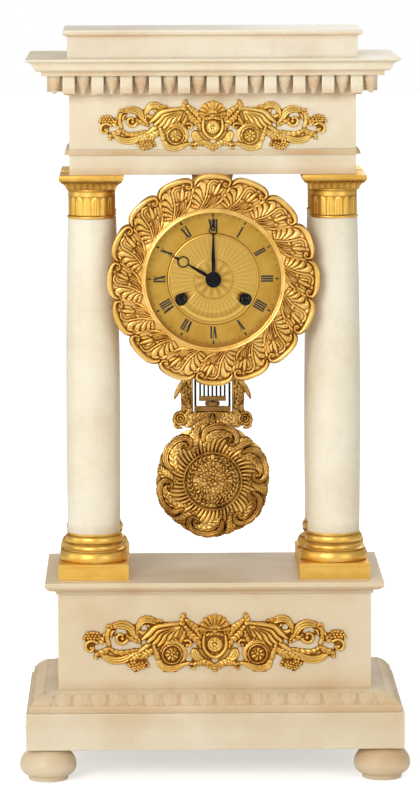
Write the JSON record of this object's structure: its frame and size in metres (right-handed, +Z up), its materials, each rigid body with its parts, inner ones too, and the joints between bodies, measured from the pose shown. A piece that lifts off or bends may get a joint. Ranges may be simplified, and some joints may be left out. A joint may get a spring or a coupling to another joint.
{
  "type": "portico clock",
  "caption": "Table clock as a small portico: columns on a footed base carry an entablature, with a round lobed clock head and a gridiron pendulum hung between them.",
  "frame": {"origin": "bottom centre of the bounding box, on the surface the feet stand on", "axes": "+Z up, the tallest way; the dial faces -Y; +X to the viewer's right"},
  "size_m": [0.2568, 0.1562, 0.49],
  "materials": {
    "alabaster": "waxed, soft sheen",
    "gilt_bronze": "matte gilt, burnished highlights",
    "antique_gilt": "aged brown gilding",
    "yellow_brass": "lacquered",
    "steel": "polished",
    "wrought_iron": "dull, oxidised",
    "bell_metal": "turned",
    "dial_gilt": "matte, engine turned",
    "blackened_steel": "satin black",
    "glass": "clear"
  },
  "bodies": {
    "case": {"base_plinth": "alabaster", "base_moulding": "alabaster", "pedestal": "alabaster", "pedestal_cap": "alabaster", "architrave": "alabaster", "frieze": "alabaster", "dentil_course": "alabaster", "cornice": "alabaster", "attic": "alabaster", "architrave_band": "alabaster", "dentil_pendants": "alabaster", "foot_front_left": "alabaster", "foot_front_right": "alabaster", "foot_back_left": "alabaster", "foot_back_right": "alabaster", "column_front_left": "alabaster", "column_front_right": "alabaster", "column_back_left": "alabaster", "column_back_right": "alabaster", "frieze_mount": "gilt_bronze", "pedestal_mount": "gilt_bronze", "column_base_front_left": "gilt_bronze", "column_base_front_right": "gilt_bronze", "column_base_back_left": "gilt_bronze", "column_base_back_right": "gilt_bronze", "capital_front_left": "gilt_bronze", "capital_front_right": "gilt_bronze", "capital_back_left": "gilt_bronze", "capital_back_right": "gilt_bronze", "drum_case": "yellow_brass", "drum_bracket": "yellow_brass", "movement_front_plate": "yellow_brass", "movement_back_plate": "yellow_brass", "suspension_cock": "yellow_brass", "bell_stand": "steel", "tie_rods": "wrought_iron", "tie_rod_nuts": "wrought_iron", "bell": "bell_metal", "dial": "dial_gilt"},
    "bezel_door": {"bezel": "gilt_bronze", "bezel_glass": "glass"},
    "drum_back": {"back_door": "yellow_brass"},
    "minute_train": {"minute_hand": "blackened_steel", "cannon_pinion": "yellow_brass", "hand_nut": "blackened_steel", "centre_arbor": "steel"},
    "hour_train": {"hour_hand": "blackened_steel", "hour_wheel": "yellow_brass"},
    "motion_wheel": {"minute_wheel": "yellow_brass"},
    "going_drive": {"going_barrel": "yellow_brass"},
    "strike_drive": {"strike_barrel": "yellow_brass"},
    "going_winder": {"going_arbor": "steel"},
    "strike_winder": {"strike_arbor": "steel"},
    "pendulum": {"pendulum_gridiron": "steel", "pendulum_frame": "antique_gilt", "pendulum_bob": "antique_gilt", "bob_medallion": "antique_gilt"},
    "regulator": {"rating_nut": "yellow_brass"},
    "escapement": {"pallets_and_crutch": "steel"},
    "strike_hammer": {"hammer": "steel"}
  },
  "joints": [
    {"name": "minute_hand_turn", "type": "hinge", "parent": "case", "child": "minute_train", "pos_m": [0, -0.03, 0.328], "axis": [0, 1, 0], "continuous": true},
    {"name": "hour_hand_turn", "type": "hinge", "parent": "case", "child": "hour_train", "pos_m": [0, -0.04, 0.328], "axis": [0, 1, 0], "continuous": true},
    {"name": "motion_wheel_turn", "type": "hinge", "parent": "case", "child": "motion_wheel", "pos_m": [0, -0.038, 0.34], "axis": [0, 1, 0], "continuous": true},
    {"name": "going_barrel_turn", "type": "hinge", "parent": "case", "child": "going_drive", "pos_m": [0.021, -0.018, 0.3146], "axis": [0, 1, 0], "continuous": true},
    {"name": "strike_barrel_turn", "type": "hinge", "parent": "case", "child": "strike_drive", "pos_m": [-0.021, -0.012, 0.3146], "axis": [0, 1, 0], "continuous": true},
    {"name": "going_winding", "type": "hinge", "parent": "case", "child": "going_winder", "pos_m": [0.021, -0.036, 0.3146], "axis": [0, 1, 0], "continuous": true},
    {"name": "strike_winding", "type": "hinge", "parent": "case", "child": "strike_winder", "pos_m": [-0.021, -0.036, 0.3146], "axis": [0, 1, 0], "continuous": true},
    {"name": "pendulum_swing", "type": "hinge", "parent": "case", "child": "pendulum", "pos_m": [0, 0.015, 0.358], "axis": [0, 1, 0], "range_deg": [-3.5, 3.5]},
    {"name": "pallets_rock", "type": "hinge", "parent": "case", "child": "escapement", "pos_m": [0, -0.027, 0.358], "axis": [0, 1, 0], "range_deg": [-3.5, 3.5]},
    {"name": "rating_nut_turn", "type": "hinge", "parent": "pendulum", "child": "regulator", "pos_m": [0, 0.015, 0.23875], "axis": [0, 0, 1], "continuous": true},
    {"name": "bezel_open", "type": "hinge", "parent": "case", "child": "bezel_door", "pos_m": [-0.052, -0.0464, 0.328], "axis": [0, 0, -1], "range_deg": [0, 90]},
    {"name": "back_door_open", "type": "hinge", "parent": "case", "child": "drum_back", "pos_m": [-0.0505, 0.037, 0.328], "axis": [0, 0, 1], "range_deg": [0, 105]},
    {"name": "hammer_lift", "type": "hinge", "parent": "case", "child": "strike_hammer", "pos_m": [0.0365, 0.012, 0.31], "axis": [0, 1, 0], "range_deg": [0, 12], "stiffness_Nm_per_rad": 0.01, "springref_deg": -5.73}
  ],
  "couplings": [
    {"joint": "hour_hand_turn", "follows": "minute_hand_turn", "ratio": 0.083333},
    {"joint": "motion_wheel_turn", "follows": "minute_hand_turn", "ratio": -0.33333},
    {"joint": "going_barrel_turn", "follows": "minute_hand_turn", "ratio": -0.22857},
    {"joint": "pallets_rock", "follows": "pendulum_swing", "ratio": 1}
  ]
}
